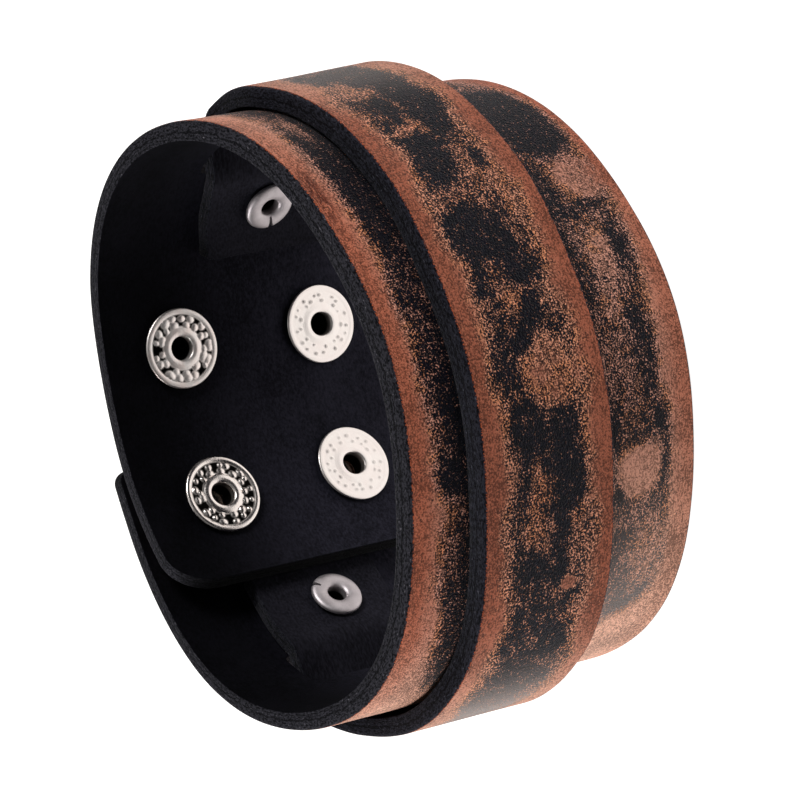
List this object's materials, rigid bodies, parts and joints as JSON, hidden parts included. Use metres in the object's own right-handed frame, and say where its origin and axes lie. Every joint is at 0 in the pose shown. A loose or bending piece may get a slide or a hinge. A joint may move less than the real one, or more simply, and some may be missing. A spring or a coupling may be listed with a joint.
{
  "type": "leather wrap bracelet",
  "caption": "Wide leather cuff bracelet with an overlaid narrower strap threaded through slots and riveted inside, closed by snaps.",
  "frame": {"origin": "centre of the bracelet's bounding box, on the surface that its lower rim rests on", "axes": "+Z along the loop's axis, from the lower rim to the upper one; +X along the loop's longer diameter; -Y towards the front, opposite the snaps"},
  "size_m": [0.0846, 0.073, 0.0417],
  "materials": {
    "band_leather": "copper-brown grain rubbed through worn black, black flesh side and edges",
    "strap_leather": "black blotched centre with copper-brown margins, black edges",
    "snap_metal": "bright nickel plate, knurled",
    "rivet_metal": "nickel plate, slightly dull"
  },
  "bodies": {
    "root": {"base_band": "band_leather", "outer_strap": "strap_leather", "snap_post_1": "snap_metal", "snap_post_2": "snap_metal", "snap_post_3": "snap_metal", "snap_post_4": "snap_metal", "snap_stud_1": "snap_metal", "snap_stud_2": "snap_metal", "snap_cap_3": "snap_metal", "snap_cap_4": "snap_metal", "tube_rivet_1": "rivet_metal", "tube_rivet_2": "rivet_metal"}
  },
  "joints": []
}
